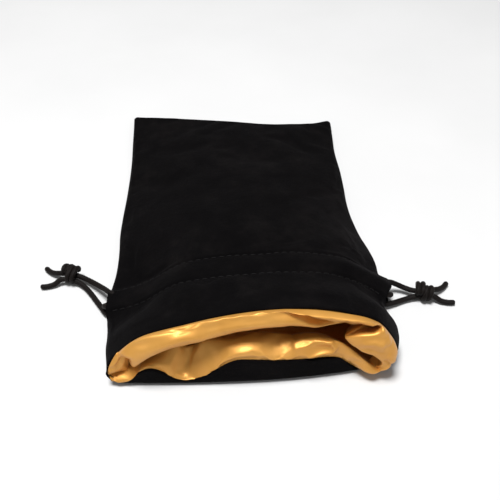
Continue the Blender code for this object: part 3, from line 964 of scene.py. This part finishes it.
ROLL_EDGE = (
    (-41.8, -73.2, 2.6), (-41.7, -75.2, 4.4), (-41.1, -74.6, 7.4), (-40.4, -74.5, 10.4), (-40.2, -77.0, 7.2),
    (-35.3, -77.0, 11.1), (-29.8, -76.7, 14.9), (-21.3, -76.3, 17.7), (-12.3, -75.8, 20.0),
    (-1.1, -75.3, 22.4), (8.4, -75.1, 23.0), (14.2, -74.2, 22.3), (19.5, -73.8, 20.9), (26.4, -72.0, 20.4),
    (31.9, -71.5, 19.6), (34.7, -71.0, 18.6), (33.4, -69.0, 13.8), (29.6, -75.2, 18.6), (30.7, -76.8, 16.9),
    (34.2, -78.6, 14.8), (37.6, -79.2, 13.4), (40.0, -79.6, 11.6), (41.4, -79.8, 9.4), (41.4, -79.9, 7.4),
    (40.2, -79.0, 6.3), (38.2, -77.0, 5.2),
)
# Where each station's satin starts under the velvet edge, and where it lies deeper in the bag. At the
# corners it starts from a point of CORNER_EDGE instead, in millimetres.
EDGE_U = (
    None, None, None, None, -0.90, -0.80, -0.685, -0.46, -0.24, -0.005, 0.195, 0.32, 0.45, 0.585, 0.72, 0.835,
    0.875, 0.90, 0.935, 0.965, 0.985, None, None, None, None, None,
)
DEEP_U = (
    -0.96, -0.95, -0.935, -0.91, -0.87, -0.79, -0.66, -0.44, -0.22, 0.0, 0.2, 0.33, 0.46, 0.585, 0.70, 0.785,
    0.825, 0.845, 0.86, 0.875, 0.89, 0.905, 0.918, 0.93, 0.94, 0.95,
)
CORNER_EDGE = {
    0: (-47.8, -77.4, 4.8), 1: (-47.9, -77.6, 6.4), 2: (-46.9, -77.2, 10.0), 3: (-44.4, -76.0, 14.2),
    21: (47.0, -77.2, 10.2), 22: (46.2, -78.2, 7.0), 23: (43.9, -79.0, 4.0), 24: (40.8, -78.6, 2.6),
    25: (37.2, -76.6, 2.6),
}
LOBE_START = 17


def spline_grid(cage, rows_fine, columns_fine):
    """A smooth surface through a coarse grid of points."""
    rows, columns = cage.shape[:2]
    at_row = np.linspace(0, rows - 1, rows_fine)
    at_column = np.linspace(0, columns - 1, columns_fine)
    down = np.stack(
        [[through(np.arange(rows), cage[:, c, i], at_row) for i in range(3)] for c in range(columns)]
    ).transpose(2, 0, 1)
    fine = np.stack(
        [[through(np.arange(columns), down[r, :, i], at_column) for i in range(3)] for r in range(rows_fine)]
    ).transpose(0, 2, 1)
    return fine


# Small folds on the lobe and on the rolls, seen from the front, in millimetres: a line, its width, and how
# far it stands out
UPPER_FOLDS = (
    (((35.4, 18.6), (38.2, 19.0), (40.8, 18.2)), 1.1, 0.7),
    (((40.9, 22.6), (42.6, 20.6), (43.4, 18.4)), 0.9, 0.6),
    (((33.0, 15.6), (37.0, 16.4), (41.0, 15.2)), 0.8, -0.35),
    (((42.6, 11.2), (43.8, 9.6), (45.4, 7.8)), 0.6, -0.6),
    (((43.6, 13.2), (44.8, 11.2), (46.0, 9.6)), 0.9, 0.4),
    (((30.5, 26.4), (34.0, 25.6), (37.0, 25.0)), 0.8, 0.4),
    (((24.0, 27.6), (28.0, 26.4), (32.5, 26.3)), 0.7, -0.4),
    (((-46.2, 10.0), (-43.6, 12.2), (-42.0, 15.4)), 0.8, 0.4),
    (((-36.0, 17.6), (-27.0, 20.6), (-18.0, 22.6)), 1.3, 0.35),
    (((-16.0, 24.9), (-6.0, 27.0), (4.0, 27.9)), 0.9, -0.3),
)


def distance_to(line, x, z):
    """How far points of a plane are from a line through a few points."""
    nearest = np.full(np.shape(x), np.inf)
    for (ax, az), (bx, bz) in zip(line, line[1:]):
        dx, dz = bx - ax, bz - az
        t = np.clip(((x - ax) * dx + (z - az) * dz) / (dx * dx + dz * dz), 0, 1)
        nearest = np.minimum(nearest, np.hypot(x - ax - t * dx, z - az - t * dz))
    return nearest


def upper_folds(points):
    """Presses the small folds into the front lining, only close to the mouth."""
    x, y, z = np.moveaxis(points / MM, -1, 0)
    near = ramp(-74.0, -76.0, y)
    for line, width, rise in UPPER_FOLDS:
        ridge = rise * np.exp(-((distance_to(line, x, z) / width) ** 2)) * near
        points[..., 1] -= ridge * MM
        points[..., 2] += 0.5 * ridge * MM
    return points


# The lining inside the bag: its half width as u, its depth under the velvet, and where the folds of the
# mouth hand over to it
LINING_EDGE = 0.965
LINING_DEPTH = 1.3 * MM
MOUTH_END_Y = -66 * MM


def lining_rows():
    stops = (MOUTH_END_Y, 0), (-56 * MM, 1.2 * MM), (-38 * MM, 0.8 * MM), (FAR_Y - 2.6 * MM, 2.4 * MM)
    return rows_between(*stops)[1:]


def within_sides(points):
    """Keeps the lining between the side seams, from just inside the mouth on."""
    y = points[..., 1]
    x = np.clip(points[..., 0], side_x(-1, y) + 1.3 * MM, side_x(1, y) - 1.3 * MM)
    points[..., 0] = mix(points[..., 0], x, ramp(-76.5 * MM, -74 * MM, y))
    return points


def drawn_in(row):
    """The lining stays back from the slits that the cords leave by, and from the seam next to them."""
    beside = ramp(-65.5 * MM, -62 * MM, row) * (1 - ramp(-38 * MM, -34 * MM, row))
    return 1 - 0.075 * slit(row) - 0.02 * beside


def seamed(inner, across, row):
    """Brings the side edges of the two lining panels together behind the slits, as their side seams do."""
    edge = np.sign(across) * LINING_EDGE * drawn_in(row)
    depth = LINING_DEPTH + channel(edge, row)
    seam = (inside(front_face, edge, row, depth) + inside(back_face, edge, row, depth)) / 2
    near = ramp(0.80, 1.0, np.abs(across) / LINING_EDGE)
    near = near * ramp(-60 * MM, -55 * MM, row) * ramp(-33 * MM, -38 * MM, row)
    return mix(inner, seam, near[..., None])


def satin_front(material):
    """The front lining with its rolls, and the lobe that falls out of the right corner."""
    stations = len(SWELL)
    start = []
    for i in range(stations):
        if EDGE_U[i] is None:
            start.append(np.array(CORNER_EDGE[i]) * MM)
        else:
            start.append(inside(front_face, EDGE_U[i], RIM_Y + 1.2 * MM, 1.35 * MM))
    rails = [np.array(start)] + [np.array(rail) * MM for rail in (SWELL, CREASE, ROLL, ROLL_EDGE)]
    deep = np.array(DEEP_U)
    under = np.array([inside(front_face, u, MOUTH_END_Y, 2.2 * MM) for u in deep])
    behind = mix(rails[-1], under, 0.35)
    behind[:, 2] += 0.8 * MM
    lobe = np.arange(stations) >= LOBE_START
    behind[lobe, 0] += 1.5 * MM
    rails += [behind, mix(behind, under, 0.55), under]
    fine = spline_grid(np.array(rails), 8 * (len(rails) - 1) + 1, 8 * (stations - 1) + 1)
    fine = upper_folds(relax(fine, 3))
    fine = within_sides(buckled(fine, borders(fine, 8, 2), 0.045, 0.9 * MM, 0.1, 3 * MM, 3))

    columns = fine.shape[1]
    u = through(np.arange(stations), deep, np.linspace(0, stations - 1, columns))
    rows = lining_rows()
    far_u = np.linspace(-LINING_EDGE, LINING_EDGE, columns)
    t = ramp(-62 * MM, -50 * MM, rows)[:, None]
    uu = mix(u[None, :], far_u[None, :], t)
    row = np.broadcast_to(rows[:, None], uu.shape)
    uu = uu * drawn_in(row)
    depth = mix(2.2 * MM, LINING_DEPTH, ramp(MOUTH_END_Y, -58 * MM, row)) + channel(uu, row)
    inner = seamed(inside(front_face, uu, row, depth), np.broadcast_to(far_u, uu.shape), row)
    points = np.concatenate([fine, inner])
    piece = grid_object("satin_front", points, material)
    declare(piece, "mouth", "satin_gold", "lining_front_panel", "rim_seam_front")
    return piece


# The lower satin, in millimetres: its crest just behind the velvet's edge, and its height further back,
# where it falls off into the bag, and on the bottom inside
LOWER_CREST = (
    (-47.6, -77.8, 4.4), (-45.6, -78.5, 3.2), (-43.6, -78.6, 3.0), (-41.0, -78.6, 4.2), (-37.5, -78.4, 7.8),
    (-33.7, -78.2, 9.6), (-30.0, -78.4, 7.6), (-26.6, -79.0, 4.6), (-22.6, -79.2, 3.3), (-20.0, -79.2, 3.5),
    (-16.8, -79.4, 5.6), (-13.4, -79.4, 8.6), (-9.4, -79.5, 12.6), (-5.2, -79.6, 14.9), (-1.3, -79.6, 15.4),
    (2.5, -79.4, 14.8), (6.7, -78.6, 14.0), (12.0, -77.6, 14.4), (17.5, -77.0, 15.6), (22.4, -76.8, 16.3),
    (26.0, -76.8, 16.2), (28.6, -76.9, 15.2), (31.5, -77.2, 13.2), (34.8, -78.5, 10.4), (38.6, -79.5, 7.4),
    (41.4, -79.5, 5.6), (44.0, -78.4, 5.4), (47.0, -77.0, 5.4),
)
LOWER_BACK = (
    (-47.0, 4.6), (-41.0, 6.0), (-36.0, 8.8), (-31.0, 10.9), (-27.0, 12.0), (-23.0, 10.8), (-20.0, 12.2),
    (-17.0, 14.2), (-13.0, 15.4), (-7.5, 16.4), (-1.0, 17.0), (5.6, 16.0), (12.2, 15.0), (18.8, 15.5),
    (22.0, 14.8), (25.6, 12.6), (29.2, 9.4), (33.0, 6.0), (37.0, 4.0), (47.0, 3.0),
)
LOWER_FLOOR = (
    (-47.0, 6.0), (-41.0, 4.5), (-34.0, 5.0), (-24.0, 4.2), (-14.0, 6.8), (-5.6, 8.6), (4.0, 8.8),
    (12.0, 8.0), (20.0, 7.0), (28.0, 5.0), (38.0, 3.6), (47.0, 6.0),
)
# The flap's edge, from further back to the front, and the tucked fold's line seen from the front
FLAP_EDGE = (-23.2 * MM, -27.6 * MM)
U_FOLD = (
    (13.5, 14.9), (17.5, 16.0), (19.8, 16.9), (22.4, 16.9), (25.0, 16.1), (26.5, 14.2), (25.7, 12.8),
    (21.7, 12.4), (18.0, 12.2),
)


def lower_folds(points):
    """The flap that ends in a step at the left, and the tucked fold at the right."""
    x, y, z = np.moveaxis(points, -1, 0)
    edge = mix(*FLAP_EDGE, ramp(-70 * MM, -79 * MM, y))
    front = ramp(-65 * MM, -69 * MM, y) * ramp(-79.2 * MM, -77.2 * MM, y)
    step = ramp(-9 * MM, -1 * MM, x - edge) * (1 - ramp(-0.4 * MM, 1.6 * MM, x - edge))
    points[..., 2] += (1.5 * step - 1.3 * bump(4 * MM, 4.4 * MM, x - edge)) * front * MM
    near = ramp(-73.5 * MM, -75.5 * MM, y)
    away = distance_to(U_FOLD, x / MM, z / MM)
    fold = 0.75 * np.exp(-((away / 0.75) ** 2)) * near
    dent = 0.8 * np.exp(-(((x / MM - 21.5) / 3.2) ** 2) - ((z / MM - 14.5) / 1.0) ** 2) * near
    points[..., 1] -= (fold - dent) * MM
    points[..., 2] += 0.3 * fold * MM
    return points


def satin_back(material):
    """The back lining: over the lip, down into the mouth, and along the bottom of the bag."""
    crest = np.array(LOWER_CREST) * MM
    floor = np.array(LOWER_FLOOR) * MM
    x = np.linspace(-47.6 * MM, 46.4 * MM, 241)
    u = 2 * (x - side_x(-1, -79 * MM)) / (side_x(1, -79 * MM) - side_x(-1, -79 * MM)) - 1
    edge_row = LIP_Y + LIP_CURL * (2 - pi / 2) - lip_edge(x)
    start = inside(back_face, u, edge_row + 1.2 * MM, LINING_DEPTH)
    rise = np.stack([x, start[:, 1] - 0.4 * MM, lip_edge(x) + 0.35 * MM], axis=1)
    top = np.stack([x, through(crest[:, 0], crest[:, 1], x), through(crest[:, 0], crest[:, 2], x)], axis=1)
    back = np.array(LOWER_BACK) * MM
    back = np.stack([x, np.full_like(x, -72 * MM), through(back[:, 0], back[:, 1], x)], axis=1)
    low = np.stack([x, np.full_like(x, MOUTH_END_Y), through(floor[:, 0], floor[:, 1], x)], axis=1)
    turn = mix(start, top, 0.5)
    turn[:, 1] = np.minimum(start[:, 1] - 0.9 * MM, top[:, 1] - 0.2 * MM)
    turn[:, 2] = mix(rise[:, 2], top[:, 2], 0.5)
    for rail, reach in ((rise, 1.7 * MM), (turn, 1.6 * MM)):
        rail[:, 1] -= reach * bump(38.5 * MM, 6 * MM, x)
    middle = mix(top, back, 0.45)
    middle[:, 2] += 0.5 * MM
    drop = mix(back, low, 0.4)
    rails = [start, rise, turn, top, middle, back, drop, low]
    fine = np.array(rails)
    at = np.linspace(0, len(rails) - 1, 9 * (len(rails) - 1) + 1)
    fine = np.stack(
        [[through(np.arange(len(rails)), fine[:, c, i], at) for i in range(3)] for c in range(len(x))]
    ).transpose(2, 0, 1)
    fine = lower_folds(relax(fine, 4))
    fine = within_sides(buckled(fine, borders(fine, 12, 2), 0.03, 0.7 * MM, 0.14, 4 * MM, 5))

    rows = lining_rows()
    left, right = side_x(-1, MOUTH_END_Y), side_x(1, MOUTH_END_Y)
    u_low = 2 * (x - left) / (right - left) - 1
    wide = np.linspace(-LINING_EDGE, LINING_EDGE, len(x))
    uu = mix(u_low[None, :], wide[None, :], ramp(-62 * MM, -50 * MM, rows)[:, None])
    row = np.broadcast_to(rows[:, None], uu.shape)
    uu = uu * drawn_in(row)
    inner = inside(back_face, uu, row, LINING_DEPTH + channel(uu, row))
    settle = ramp(MOUTH_END_Y, -55 * MM, row)[..., None]
    lifted = inner.copy()
    lifted[..., 2] = np.maximum(inner[..., 2], low[None, :, 2])
    inner = seamed(mix(lifted, inner, settle), np.broadcast_to(wide, uu.shape), row)
    piece = grid_object("satin_back", np.concatenate([fine, inner]), material)
    declare(piece, "back", "satin_gold", "lining_back_panel", "rim_seam_back")
    return piece


# ---------------------------------------------------------------- the scene

velvet_black = velvet_material()
satin_gold = satin_material()
cord_black = cord_material()
thread_black = thread_material()

stage(floor_material())
camera()
cords(cord_black)
velvet(velvet_black, thread_black)
seams(thread_black)
satin_front(satin_gold)
satin_back(satin_gold)

for name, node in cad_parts.items():
    if not node.hide_render:
        node.data.materials.clear()
        node.data.materials.append(cord_black if "cord" in name else thread_black)
